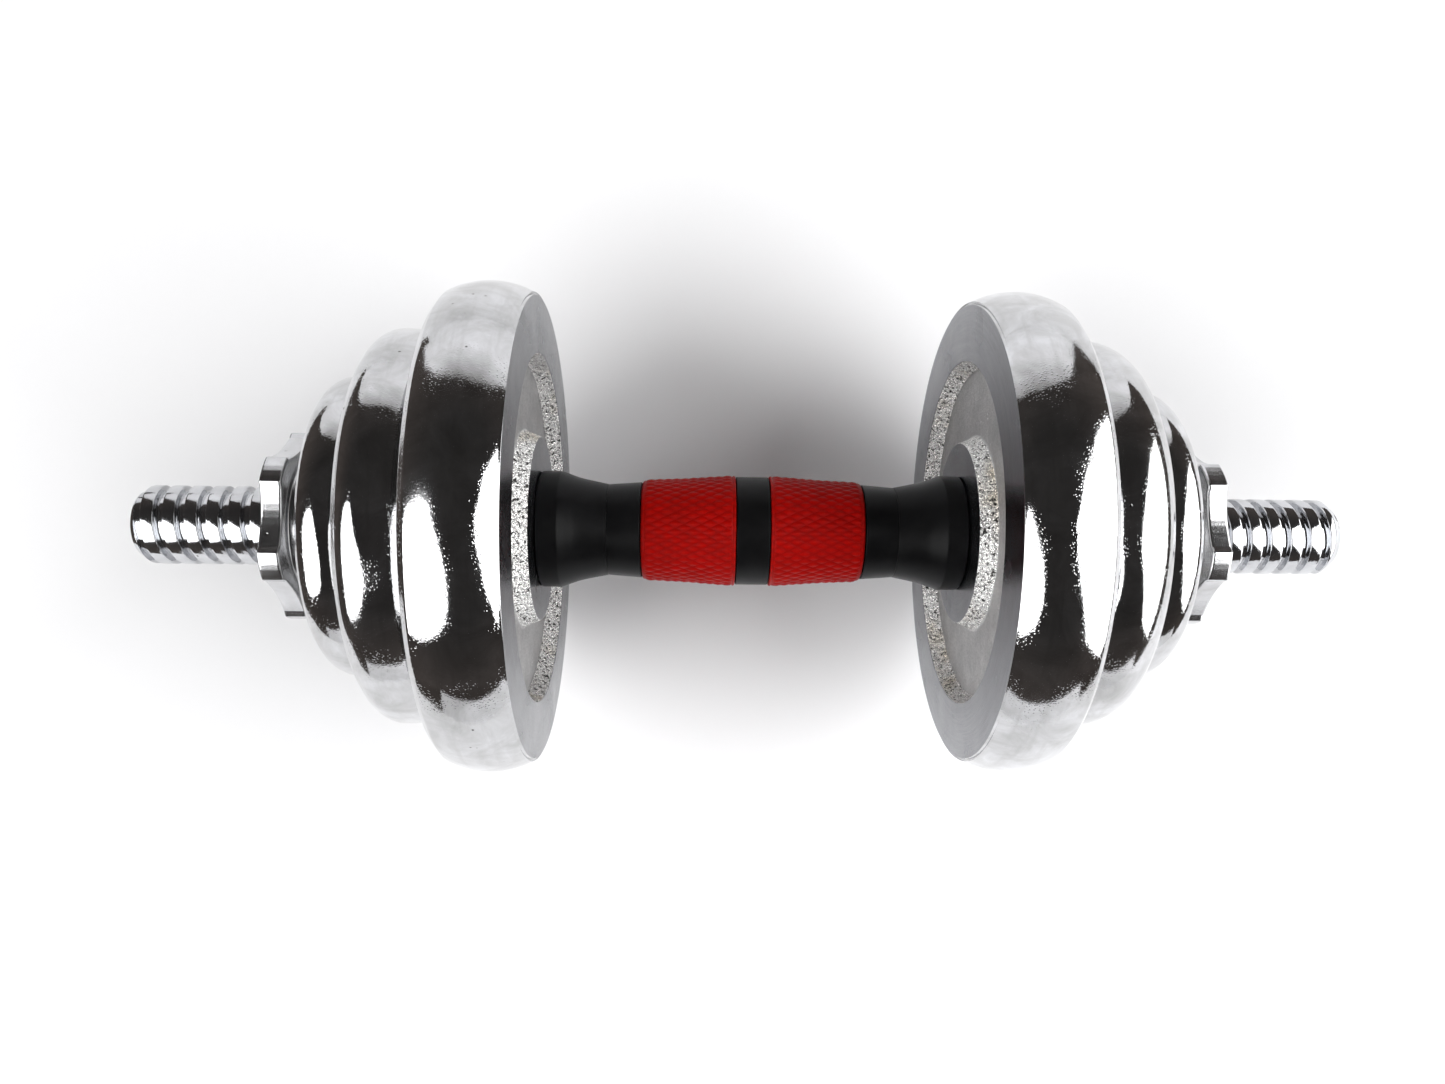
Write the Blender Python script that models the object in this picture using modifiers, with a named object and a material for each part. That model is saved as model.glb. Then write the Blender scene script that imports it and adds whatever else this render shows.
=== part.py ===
"""Adjustable dumbbell: a threaded steel bar with a moulded grip, three cast plates and a star nut on each end.

Units are metres. The bar lies along X with its middle at the origin, and +Z is up. Every piece is modelled
with its own +Z along the bar, measured from the bar's middle, and is then turned so that its +Z points
outboard, to +X on the right and to -X on the left. Both screw threads are right-handed.
"""

from math import atan2, ceil, cos, pi, radians, sin, sqrt, tau

import bmesh
import bpy

# Gap kept between pieces that touch
GAP = 0.0003

# Steel bar, and the screw thread on each end
BAR_HALF = 0.195
SHAFT_R = 0.0125
THREAD_R = 0.0127
THREAD_DEPTH = 0.0019
THREAD_START = 0.092
THREAD_SIDES = 18
THREAD_PLAY = 0.00045
PITCH = 0.0067
# One pitch of the thread: how far along it, and the share of the depth that stands there
THREAD_SHAPE = ((0.0, 0.0), (0.17, 0.78), (0.5, 1.0), (0.83, 0.78))

# Plane where the grip ends and the plates begin
FACE = 0.0688

# Moulded grip: a black core, two red sleeves and a flared cover at each end
CORE_END = 0.0468
NECK_R = 0.0149
SHOULDER = 0.0361
SHOULDER_R = 0.0157
SEAT_R = 0.0142
BAND_HALF = 0.0053
BAND_R = 0.0178
SLEEVE_R_INNER = 0.0182
SLEEVE_R_MIDDLE = 0.0170
SLEEVE_R_OUTER = 0.0164
FLARE_R = 0.0190
FLARE_FROM = 0.0620
GRIP_SIDES = 24

# Steel stop collar inside each flared cover, and the pin through it
STOP_FROM = 0.0580
STOP_R = 0.0160
PIN_AT = 0.0634
PIN_R = 0.0025
PIN_HALF = 0.0150

# Cast plates: inner face, thickness, largest radius, radius of the rim's curve and how far out its crown is,
# then the inner face's recess and hub, and the outer face's edge and dish
BORE_R = 0.0140
RECESS_DEPTH = 0.0055
RECESS_DRAFT = 0.0022
DISH_DEPTH = 0.0025
RIM_STEPS = 5
PLATE_SIDES = 32
PLATES = {
    "big_plate": dict(
        face=FACE, thick=0.0265, rim=0.0786, curve=0.0256, crown=0.0131,
        recess=0.0566, hub=0.0300, edge=0.0020, dish=(0.0340, 0.0620),
    ),
    "mid_plate": dict(
        face=0.0956, thick=0.0217, rim=0.0639, curve=0.0143, crown=0.0102,
        recess=0.0450, hub=0.0270, edge=0.0016, dish=(0.0310, 0.0500),
    ),
    "small_plate": dict(
        face=0.1176, thick=0.0143, rim=0.0485, curve=0.0095, crown=0.0070,
        recess=0.0350, hub=0.0230, edge=0.0012, dish=(0.0270, 0.0390),
    ),
}  # fmt: skip

# Star nut
NUT_FACE = 0.1331
BOSS_R = 0.0220
BOSS_CHAMFER = 0.0008
STAR_FROM = 0.1425
STAR_TO = 0.1491
STAR_BEVEL = 0.0004
LOBES = 6
LOBE_R = 0.0300
FOOT_R = 0.0284
VALLEY_R = 0.0260
LOBE_LAND = radians(9.0)
LOBE_FOOT = radians(12.0)
MOUTH_R = 0.0145
PILOT_R = 0.0090
# Angle of one lobe of each nut, from straight up towards -Y
NUT_TURN = {"right": radians(21.0), "left": radians(27.0)}

# Rubber ring in the nut's inner face
RING_R = (0.0155, 0.0195)
RING_DEEP = 0.0020
RING_PROUD = 0.0009
RING_SIDES = 20

SIDES = {"right": 1, "left": -1}


def clear_scene():
    for obj in list(bpy.data.objects):
        bpy.data.objects.remove(obj, do_unlink=True)


def make_collection(name):
    collection = bpy.data.collections.new(name)
    bpy.context.scene.collection.children.link(collection)
    return collection


def make_material(name, colour, roughness, metallic):
    material = bpy.data.materials.new(name)
    material.use_nodes = True
    shader = material.node_tree.nodes["Principled BSDF"]
    shader.inputs["Base Color"].default_value = (*colour, 1.0)
    shader.inputs["Roughness"].default_value = roughness
    shader.inputs["Metallic"].default_value = metallic
    material.diffuse_color = (*colour, 1.0)
    return material


clear_scene()
PARTS = make_collection("adjustable_dumbbell")
CUTTERS = make_collection("cutters")

CHROME = make_material("chrome", (0.78, 0.78, 0.80), 0.10, 1.0)
CHROMED_CASTING = make_material("chromed_casting", (0.70, 0.70, 0.72), 0.16, 1.0)
BARE_STEEL = make_material("bare_steel", (0.45, 0.45, 0.46), 0.35, 1.0)
BLACK_PLASTIC = make_material("black_plastic", (0.016, 0.016, 0.017), 0.45, 0.0)
RED_RUBBER = make_material("red_rubber", (0.42, 0.012, 0.010), 0.55, 0.0)
BLACK_RUBBER = make_material("black_rubber", (0.02, 0.02, 0.02), 0.80, 0.0)


def add_piece(name, mesh, material, side="right"):
    """Adds the mesh as a part, turned so that its +Z points outboard on that side."""
    mesh.materials.clear()
    mesh.materials.append(material)
    obj = bpy.data.objects.new(name, mesh)
    obj.rotation_euler.y = SIDES[side] * pi / 2
    PARTS.objects.link(obj)
    return obj


def add_guide(name, mesh):
    """Adds the mesh as a cutter or a shape to work from, which stays out of the finished object."""
    obj = bpy.data.objects.new(name, mesh)
    obj.hide_render = True
    obj.display_type = "WIRE"
    CUTTERS.objects.link(obj)
    return obj


def finished_mesh(guide, name, sharp_from=35.0):
    """The guide's mesh with its modifiers applied, shaded smooth up to sharp edges. The guide is removed."""
    bpy.context.view_layer.update()
    graph = bpy.context.evaluated_depsgraph_get()
    mesh = bpy.data.meshes.new_from_object(guide.evaluated_get(graph))
    mesh.name = name
    mesh.shade_smooth()
    mesh.set_sharp_from_angle(angle=radians(sharp_from))
    bpy.data.objects.remove(guide, do_unlink=True)
    return mesh


def turned_mesh(name, outline, sides):
    """A ring turned about Z from a closed outline of (radius, z), which runs down its outer side.

    The outline stands half a side round from +X, so that the ring has a flat facing +X and one facing -X.
    """
    start = tau / sides / 2
    points = [(r * cos(start), r * sin(start), z) for r, z in outline]
    edges = [(i, (i + 1) % len(points)) for i in range(len(points))]
    mesh = bpy.data.meshes.new(name)
    mesh.from_pydata(points, edges, [])
    guide = add_guide(name + "_outline", mesh)
    screw = guide.modifiers.new("turn", "SCREW")
    screw.angle = tau
    screw.steps = sides
    screw.render_steps = sides
    screw.use_merge_vertices = True
    screw.merge_threshold = 0.00001
    return finished_mesh(guide, name)


def cut(obj, cutter, operation="DIFFERENCE"):
    boolean = obj.modifiers.new(cutter.name, "BOOLEAN")
    boolean.operation = operation
    boolean.solver = "EXACT"
    boolean.object = cutter


def cross_hole(name, radius, length, along):
    """A cylinder square to the bar, through its axis, as a cutter."""
    cylinder = bmesh.new()
    bmesh.ops.create_cone(
        cylinder, cap_ends=True, segments=12, radius1=radius, radius2=radius, depth=length
    )
    for vertex in cylinder.verts:
        vertex.co = (vertex.co.z, vertex.co.y, along - vertex.co.x)
    mesh = bpy.data.meshes.new(name)
    cylinder.to_mesh(mesh)
    cylinder.free()
    return mesh


# The screw thread


def thread_column(turn, start, end, grow):
    """The thread's wall at one angle, as (radius, z) from start to end. Past either end it stays on the root."""
    rows = len(THREAD_SHAPE)
    root = THREAD_R - THREAD_DEPTH + grow
    column = []
    for row in range(-rows, rows * (ceil((end - start) / PITCH) + 1)):
        along, stands = THREAD_SHAPE[row % rows]
        z = start + PITCH * (row // rows + along + turn)
        from_end = max(min(z - start, end - z), 0.0)
        radius = root + min(THREAD_DEPTH * stands, from_end)
        column.append((radius, min(max(z, start), end)))
    return column


def add_thread(mesh, start, end, grow=0.0):
    """Adds a threaded wall about Z to a bmesh. Returns the rings of vertices at its start and end."""
    made = {}

    def vertex(side, radius, z):
        key = (side % THREAD_SIDES, round(radius, 7), round(z, 7))
        if key not in made:
            angle = tau * side / THREAD_SIDES
            made[key] = mesh.verts.new((radius * cos(angle), radius * sin(angle), z))
        return made[key]

    columns = [
        [vertex(side, *point) for point in thread_column(side / THREAD_SIDES, start, end, grow)]
        for side in range(THREAD_SIDES + 1)
    ]
    for near, far in zip(columns, columns[1:]):
        for row in range(len(near) - 1):
            corners = list(dict.fromkeys((near[row], far[row], far[row + 1], near[row + 1])))
            if len(corners) > 2:
                mesh.faces.new(corners)
    return [column[0] for column in columns[:-1]], [column[-1] for column in columns[:-1]]


def add_ring(mesh, radius, z):
    angles = [tau * side / THREAD_SIDES for side in range(THREAD_SIDES)]
    return [mesh.verts.new((radius * cos(a), radius * sin(a), z)) for a in angles]


def join_rings(mesh, upper, lower):
    for i in range(len(upper)):
        j = (i + 1) % len(upper)
        mesh.faces.new((upper[i], lower[i], lower[j], upper[j]))


def bar_mesh():
    """A plain shaft with a thread on each end. The left half is the right half turned about, not mirrored."""
    half = bmesh.new()
    first, last = add_thread(half, THREAD_START, BAR_HALF)
    root = THREAD_R - THREAD_DEPTH
    relief = THREAD_START - 0.0010
    rings = [first]
    for radius, z in ((root, relief), (SHAFT_R, relief - SHAFT_R + root), (SHAFT_R, 0.0)):
        rings.append(add_ring(half, radius, z))
    for upper, lower in zip(rings, rings[1:]):
        join_rings(half, upper, lower)
    half.faces.new(last)
    other = bmesh.ops.duplicate(half, geom=half.verts[:] + half.edges[:] + half.faces[:])
    for item in other["geom"]:
        if isinstance(item, bmesh.types.BMVert):
            item.co = (-item.co.x, item.co.y, -item.co.z)
    bmesh.ops.remove_doubles(half, verts=half.verts, dist=0.000001)
    bmesh.ops.recalc_face_normals(half, faces=half.faces)
    mesh = bpy.data.meshes.new("threaded_bar")
    half.to_mesh(mesh)
    half.free()
    return mesh


def thread_cutter_mesh(start, end):
    """A threaded rod with the nut's running clearance, in step with the bar's own thread."""
    rod = bmesh.new()
    turns_before = ceil((THREAD_START - start) / PITCH)
    in_step = THREAD_START - turns_before * PITCH
    first, last = add_thread(rod, in_step, end, THREAD_PLAY)
    rod.faces.new(first)
    rod.faces.new(last)
    bmesh.ops.recalc_face_normals(rod, faces=rod.faces)
    mesh = bpy.data.meshes.new("nut_thread")
    rod.to_mesh(mesh)
    rod.free()
    return mesh


# Bar, stop collars and pins


def build_bar():
    guide = add_guide("bar_blank", bar_mesh())
    for side, sign in SIDES.items():
        hole = cross_hole(f"bar_pin_hole_{side}", PIN_R + GAP, 3 * SHAFT_R, sign * PIN_AT)
        cut(guide, add_guide(hole.name, hole))
    add_piece("threaded_bar", finished_mesh(guide, "threaded_bar", 60.0), CHROME)


def build_stop(side):
    """A steel collar on the bar that takes the plates' push, and the pin that holds it."""
    outline = [
        (STOP_R, FACE - GAP),
        (STOP_R, STOP_FROM),
        (SHAFT_R + GAP, STOP_FROM),
        (SHAFT_R + GAP, FACE - GAP),
    ]
    guide = add_guide("collar_blank", turned_mesh("collar_blank", outline, GRIP_SIDES))
    hole = cross_hole(f"collar_pin_hole_{side}", PIN_R + GAP, 3 * STOP_R, PIN_AT)
    cut(guide, add_guide(hole.name, hole))
    name = f"stop_collar_{side}"
    add_piece(name, finished_mesh(guide, name), BARE_STEEL, side)
    pin = cross_hole(f"stop_pin_{side}", PIN_R, 2 * PIN_HALF, PIN_AT)
    pin.shade_smooth()
    pin.set_sharp_from_angle(angle=radians(35.0))
    add_piece(pin.name, pin, BARE_STEEL, side)


# Grip


def build_grip_core():
    """One moulding between the flared covers: a neck at each end, a seat for each sleeve and a middle band."""
    right = [
        (NECK_R, CORE_END),
        (SHOULDER_R, SHOULDER),
        (SEAT_R, SHOULDER),
        (SEAT_R, BAND_HALF),
        (BAND_R, BAND_HALF),
    ]
    left = [(r, -z) for r, z in reversed(right)]
    bore = [(SHAFT_R + GAP, -CORE_END), (SHAFT_R + GAP, CORE_END)]
    add_piece("grip_core", turned_mesh("grip_core", right + left + bore, GRIP_SIDES), BLACK_PLASTIC)


def build_grip_sleeve(side):
    """A red rubber sleeve that grows towards the middle of the grip."""
    outer, inner = SHOULDER - GAP, BAND_HALF + GAP
    outline = [
        (SLEEVE_R_OUTER - 0.0006, outer),
        (SLEEVE_R_OUTER, outer - 0.0008),
        (SLEEVE_R_MIDDLE, 0.022),
        (SLEEVE_R_INNER, inner + 0.0006),
        (SLEEVE_R_INNER - 0.0004, inner),
        (SEAT_R + GAP, inner),
        (SEAT_R + GAP, outer),
    ]
    name = f"grip_sleeve_{side}"
    add_piece(name, turned_mesh(name, outline, GRIP_SIDES), RED_RUBBER, side)


def build_flare_cover(side):
    """The black cover that widens from the neck to the plates and hides the stop collar."""
    inner = CORE_END + GAP
    outline = [
        (FLARE_R - 0.0005, FACE - GAP),
        (FLARE_R, FACE - GAP - 0.0005),
        (FLARE_R, FLARE_FROM),
        (0.0177, 0.0586),
        (0.0166, 0.0550),
        (NECK_R, inner),
        (SHAFT_R + GAP, inner),
        (SHAFT_R + GAP, STOP_FROM - GAP),
        (STOP_R + GAP, STOP_FROM - GAP),
        (STOP_R + GAP, FACE - GAP),
    ]
    name = f"flare_cover_{side}"
    add_piece(name, turned_mesh(name, outline, GRIP_SIDES), BLACK_PLASTIC, side)


# Cast plates


def plate_outline(face, thick, rim, curve, crown, recess, hub, edge, dish):
    """Down the round rim from the outer face to the inner one, then across the hub and back up the bore."""
    top = face + thick
    centre = rim - curve
    outer_r = centre + sqrt(curve**2 - (thick - edge - crown) ** 2)
    inner_r = centre + sqrt(curve**2 - crown**2)
    highest = atan2(thick - edge - crown, outer_r - centre)
    lowest = atan2(-crown, inner_r - centre)
    angles = [highest + (lowest - highest) * i / RIM_STEPS for i in range(RIM_STEPS + 1)]
    rounded = [(centre + curve * cos(a), face + crown + curve * sin(a)) for a in angles]
    floor = face + RECESS_DEPTH
    inner_side = [
        (recess, face),
        (recess - RECESS_DRAFT, floor),
        (hub + RECESS_DRAFT, floor),
        (hub, face),
        (BORE_R, face),
    ]
    dish_in, dish_out = dish
    outer_side = [
        (BORE_R, top),
        (dish_in, top),
        (dish_in + DISH_DEPTH, top - DISH_DEPTH),
        (dish_out - DISH_DEPTH, top - DISH_DEPTH),
        (dish_out, top),
        (outer_r - 1.5 * edge, top),
    ]
    return rounded + inner_side + outer_side


def build_plates(side):
    for kind, sizes in PLATES.items():
        name = f"{kind}_{side}"
        mesh = turned_mesh(name, plate_outline(**sizes), PLATE_SIDES)
        add_piece(name, mesh, CHROMED_CASTING, side)


# Star nut


def star_outline(turn):
    """The lobes and hollow valleys as (x, y), with one lobe at angle `turn`."""
    half_pitch = pi / LOBES
    halfway = 0.5 * (half_pitch - LOBE_FOOT)
    quarter_up = VALLEY_R + (FOOT_R - VALLEY_R) / 4
    points = []
    for lobe in range(LOBES):
        middle = turn + tau * lobe / LOBES
        for angle, radius in (
            (-LOBE_FOOT, FOOT_R),
            (-LOBE_LAND, LOBE_R),
            (-LOBE_LAND / 3, LOBE_R),
            (LOBE_LAND / 3, LOBE_R),
            (LOBE_LAND, LOBE_R),
            (LOBE_FOOT, FOOT_R),
            (half_pitch - halfway, quarter_up),
            (half_pitch, VALLEY_R),
            (half_pitch + halfway, quarter_up),
        ):
            points.append((radius * cos(middle + angle), radius * sin(middle + angle)))
    return points


def star_mesh(turn):
    """The star as a plate with bevelled rims."""
    star = bmesh.new()
    lower = star.faces.new([star.verts.new((x, y, STAR_FROM)) for x, y in star_outline(turn)])
    raised = bmesh.ops.extrude_face_region(star, geom=[lower])
    for item in raised["geom"]:
        if isinstance(item, bmesh.types.BMVert):
            item.co.z = STAR_TO
    bmesh.ops.recalc_face_normals(star, faces=star.faces)
    rims = [edge for edge in star.edges if edge.verts[0].co.z == edge.verts[1].co.z]
    bmesh.ops.bevel(star, geom=rims, offset=STAR_BEVEL, segments=1, affect="EDGES")
    mesh = bpy.data.meshes.new("star")
    star.to_mesh(mesh)
    star.free()
    return mesh


def mouth_cutter_mesh():
    """A cone that opens the thread's mouth on the star's outer face."""
    cone = bmesh.new()
    depth = MOUTH_R - PILOT_R + 2 * GAP
    bmesh.ops.create_cone(
        cone, cap_ends=True, segments=THREAD_SIDES, radius1=PILOT_R, radius2=PILOT_R + depth, depth=depth
    )
    bmesh.ops.translate(cone, verts=cone.verts, vec=(0.0, 0.0, STAR_TO + 2 * GAP - depth / 2))
    mesh = bpy.data.meshes.new("nut_mouth")
    cone.to_mesh(mesh)
    cone.free()
    return mesh


def build_nut(side):
    """A threaded boss with a groove for the rubber ring, and the star that the fingers turn."""
    ring_in, ring_out = RING_R[0] - GAP, RING_R[1] + GAP
    groove = NUT_FACE + RING_DEEP
    outline = [
        (BOSS_R, STAR_FROM + BOSS_CHAMFER),
        (BOSS_R, NUT_FACE + BOSS_CHAMFER),
        (BOSS_R - BOSS_CHAMFER, NUT_FACE),
        (ring_out, NUT_FACE),
        (ring_out, groove),
        (ring_in, groove),
        (ring_in, NUT_FACE),
        (MOUTH_R, NUT_FACE),
        (PILOT_R, NUT_FACE + MOUTH_R - PILOT_R),
        (PILOT_R, STAR_FROM + BOSS_CHAMFER),
    ]
    turn = pi + NUT_TURN[side] if side == "right" else -NUT_TURN[side]
    boss = add_guide(f"nut_boss_{side}", turned_mesh("nut_boss", outline, GRIP_SIDES))
    cut(boss, add_guide(f"star_{side}", star_mesh(turn)), "UNION")
    cut(boss, add_guide(f"nut_thread_{side}", thread_cutter_mesh(NUT_FACE - PITCH, STAR_TO + PITCH)))
    cut(boss, add_guide(f"nut_mouth_{side}", mouth_cutter_mesh()))
    name = f"star_nut_{side}"
    add_piece(name, finished_mesh(boss, name), CHROME, side)


def build_nut_ring(side):
    inner, outer = RING_R
    front, back = NUT_FACE - RING_PROUD, NUT_FACE + RING_DEEP - GAP
    outline = [(outer, back), (outer, front), (inner, front), (inner, back)]
    name = f"nut_ring_{side}"
    add_piece(name, turned_mesh(name, outline, RING_SIDES), BLACK_RUBBER, side)


build_bar()
build_grip_core()
for side_name in SIDES:
    build_stop(side_name)
    build_grip_sleeve(side_name)
    build_flare_cover(side_name)
    build_plates(side_name)
    build_nut(side_name)
    build_nut_ring(side_name)
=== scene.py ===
"""Looks of the adjustable dumbbell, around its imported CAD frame.

Metres. The bar lies along X with its middle at the origin and +Z is up. Pieces are modelled with their own
+Z along the bar, pointing outboard, as in the CAD, and are then turned to +X on the right and -X on the left.
"""

from math import acos, atan2, ceil, cos, hypot, pi, radians, sin, sqrt, tan, tau

import bmesh
import bpy
import numpy as np
from mathutils import Matrix, Vector


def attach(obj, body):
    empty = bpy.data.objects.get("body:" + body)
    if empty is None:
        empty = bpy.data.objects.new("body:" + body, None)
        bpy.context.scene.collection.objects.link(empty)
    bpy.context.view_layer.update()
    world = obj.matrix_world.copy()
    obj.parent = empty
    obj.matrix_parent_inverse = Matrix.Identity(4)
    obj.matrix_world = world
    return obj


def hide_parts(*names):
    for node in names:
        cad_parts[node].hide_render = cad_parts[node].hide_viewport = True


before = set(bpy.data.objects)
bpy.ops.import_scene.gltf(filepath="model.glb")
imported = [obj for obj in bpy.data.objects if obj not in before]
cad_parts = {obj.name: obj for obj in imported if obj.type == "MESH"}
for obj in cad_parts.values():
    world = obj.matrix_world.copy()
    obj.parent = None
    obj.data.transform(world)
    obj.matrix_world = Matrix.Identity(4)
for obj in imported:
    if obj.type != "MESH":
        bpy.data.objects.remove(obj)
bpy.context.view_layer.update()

# Sizes, the same as in the CAD
GAP = 0.0003
SEAM = 0.00006
BAR_HALF = 0.195
SHAFT_R = 0.0125
THREAD_R = 0.0127
THREAD_DEPTH = 0.0019
THREAD_START = 0.092
THREAD_PLAY = 0.00045
TIP_SLOPE = 0.7
PITCH = 0.0067
FACE = 0.0688
CORE_END = 0.0468
NECK_R = 0.0149
SHOULDER = 0.0361
SHOULDER_R = 0.0157
SEAT_R = 0.0142
BAND_HALF = 0.0053
BAND_R = 0.0178
SLEEVE_R_INNER = 0.0182
SLEEVE_R_MIDDLE = 0.0170
SLEEVE_R_OUTER = 0.0164
SCALE_ROWS = 40
SCALE_LENGTH = 0.0055
SCALE_HIGH = 0.00042
SCALE_MARGIN = 0.0011
FLARE_R = 0.0190
FLARE_FROM = 0.0620
STOP_FROM = 0.0580
STOP_R = 0.0160
BORE_R = 0.0140
RECESS_DEPTH = 0.0055
RECESS_DRAFT = 0.0022
DISH_DEPTH = 0.0025
PLATES = {
    "big_plate": dict(
        face=FACE, thick=0.0265, rim=0.0786, curve=0.0256, crown=0.0131,
        recess=0.0566, hub=0.0300, edge=0.0020, dish=(0.0340, 0.0620),
    ),
    "mid_plate": dict(
        face=0.0956, thick=0.0217, rim=0.0639, curve=0.0143, crown=0.0102,
        recess=0.0450, hub=0.0270, edge=0.0016, dish=(0.0310, 0.0500),
    ),
    "small_plate": dict(
        face=0.1176, thick=0.0143, rim=0.0485, curve=0.0095, crown=0.0070,
        recess=0.0350, hub=0.0230, edge=0.0012, dish=(0.0270, 0.0390),
    ),
}  # fmt: skip
NUT_FACE = 0.1331
BOSS_R = 0.0220
STAR_FROM = 0.1425
STAR_TO = 0.1491
LOBES = 6
LOBE_R = 0.0300
FOOT_R = 0.0284
VALLEY_R = 0.0260
LOBE_LAND = radians(9.0)
LOBE_FOOT = radians(12.0)
LOBE_FILLET = 0.0009
MOUTH_R = 0.0145
NUT_TURN = {"right": radians(21.0), "left": radians(27.0)}
RING_R = (0.0155, 0.0195)
RING_DEEP = 0.0020
RING_PROUD = 0.0009
SIDES = {"right": 1, "left": -1}

# Mesh tools


def rounded(corners, steps=5, support=0.0003):
    """A closed polyline with its corners rounded, as points and the zone of the stretch after each.

    Each corner is (x, y, radius, zone), and its zone is that of the stretch after it. Long stretches get a
    support point near each end, so that flat faces shade flat.
    """
    points, zones = [], []
    count = len(corners)
    ends = []
    for i, (x, y, radius, zone) in enumerate(corners):
        here = np.array((x, y))
        back = np.array(corners[i - 1][:2]) - here
        on = np.array(corners[(i + 1) % count][:2]) - here
        back_length, on_length = np.linalg.norm(back), np.linalg.norm(on)
        back, on = back / back_length, on / on_length
        half = acos(float(np.clip(back @ on, -1, 1))) / 2
        if radius <= 0 or half > radians(88):
            ends.append(([here], zone))
            continue
        reach = min(radius / tan(half), 0.49 * back_length, 0.49 * on_length)
        radius = reach * tan(half)
        centre = here + (back + on) / np.linalg.norm(back + on) * radius / sin(half)
        first, last = here + back * reach - centre, here + on * reach - centre
        sweep = pi - 2 * half
        arc = []
        for step in range(steps + 1):
            t = step / steps
            arc.append(centre + (sin((1 - t) * sweep) * first + sin(t * sweep) * last) / sin(sweep))
        ends.append((arc, zone))
    for i, (arc, zone) in enumerate(ends):
        before_zone = ends[i - 1][1]
        points += arc
        zones += [before_zone if step < len(arc) // 2 else zone for step in range(len(arc) - 1)]
        zones.append(zone)
        start, stop = arc[-1], ends[(i + 1) % count][0][0]
        length = np.linalg.norm(stop - start)
        if length > 3 * support:
            for share in (support / length, 1 - support / length):
                points.append(start + (stop - start) * share)
                zones.append(zone)
    return np.array(points), zones


def outboard(side):
    """Turns a piece's own +Z outboard."""
    return np.array(Matrix.Rotation(SIDES[side] * pi / 2, 3, "Y"))


def piece_from(name, points, faces, materials, zones, side, sharp_from=50.0):
    """A mesh object from points in the piece's own frame and faces with a material zone each."""
    mesh = bpy.data.meshes.new(name)
    placed = np.asarray(points) @ outboard(side).T
    mesh.from_pydata(placed.tolist(), [], faces)
    for material in materials:
        mesh.materials.append(material)
    if zones is not None:
        mesh.polygons.foreach_set("material_index", np.array(zones, np.int32))
    cleaner = bmesh.new()
    cleaner.from_mesh(mesh)
    bmesh.ops.remove_doubles(cleaner, verts=cleaner.verts, dist=0.0000005)
    bmesh.ops.recalc_face_normals(cleaner, faces=cleaner.faces)
    cleaner.to_mesh(mesh)
    cleaner.free()
    mesh.shade_smooth()
    mesh.set_sharp_from_angle(angle=radians(sharp_from))
    obj = bpy.data.objects.new(name, mesh)
    bpy.context.scene.collection.objects.link(obj)
    return obj


def grid_faces(rows, columns, row_zones=None, closed=True, first=0):
    """Quads over rows of points that go right round. A closed grid's last row joins its first one."""
    faces, zones = [], []
    for row in range(rows if closed else rows - 1):
        after = (row + 1) % rows
        for column in range(columns):
            beside = (column + 1) % columns
            faces.append(
                (
                    first + row * columns + column,
                    first + after * columns + column,
                    first + after * columns + beside,
                    first + row * columns + beside,
                )
            )
            zones.append(row_zones[row] if row_zones else 0)
    return faces, zones


def lathe_points(outline, columns, wobble=None):
    """Points of a turned ring from its (radius, z) outline.

    wobble(radius, z, angle) gives what to add to the radius and to z.
    """
    angles = np.arange(columns) / columns * tau
    radius, z = outline[:, :1], outline[:, 1:]
    angle = angles[None, :] + 0 * z
    if wobble:
        more_radius, more_z = wobble(radius + 0 * angle, z + 0 * angle, angle)
        radius, z = radius + more_radius, z + more_z
    points = np.stack((radius * np.cos(angle), radius * np.sin(angle), z + 0 * angle), -1)
    return points.reshape(-1, 3)


def refined(outline, zones, fine_zones, longest=0.0009):
    """The outline with its stretches in some zones cut into short steps."""
    points, new_zones = [], []
    for i, (point, zone) in enumerate(zip(outline, zones)):
        after = outline[(i + 1) % len(outline)]
        count = max(ceil(np.linalg.norm(after - point) / longest), 1) if zone in fine_zones else 1
        for step in range(count):
            points.append(point + (after - point) * step / count)
            new_zones.append(zone)
    return np.array(points), new_zones


def lathe(name, corners, materials, side, columns, steps, wobble=None, fine_zones=()):
    """A turned ring, with a column of faces for each step round it and arcs of `steps` at its corners."""
    outline, zones = rounded(corners, steps)
    outline, zones = refined(outline, zones, fine_zones)
    points = lathe_points(outline, columns, wobble)
    faces, face_zones = grid_faces(len(outline), columns, zones)
    return piece_from(name, points, faces, materials, face_zones, side)


def waves(seed, count, lowest, highest):
    """A smooth random surface over directions: a function of three coordinate arrays, about -1 to 1."""
    random = np.random.default_rng(seed)
    direction = random.normal(size=(count, 3))
    direction /= np.linalg.norm(direction, axis=1)[:, None]
    frequency = random.uniform(lowest, highest, count)
    phase = random.uniform(0, tau, count)

    def height(x, y, z):
        total = 0
        for (dx, dy, dz), f, p in zip(direction, frequency, phase):
            total = total + np.sin(tau * f * (dx * x + dy * y + dz * z) + p)
        return total / sqrt(count)

    return height


# Screw thread

# Shares of a pitch at which the mesh has a row
THREAD_ROWS = (
    0, 0.08, 0.145, 0.1575, 0.17, 0.1850, 0.20, 0.2125, 0.225, 0.27, 0.385,
    0.5, 0.615, 0.73, 0.775, 0.7875, 0.80, 0.8150, 0.83, 0.8425, 0.855, 0.92,
)  # fmt: skip
# Distances from the middle of the crest, as shares of half a pitch
FLANK_TOP = 0.56
FLANK_FOOT = 0.69
CREST_DOME = 0.035


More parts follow.
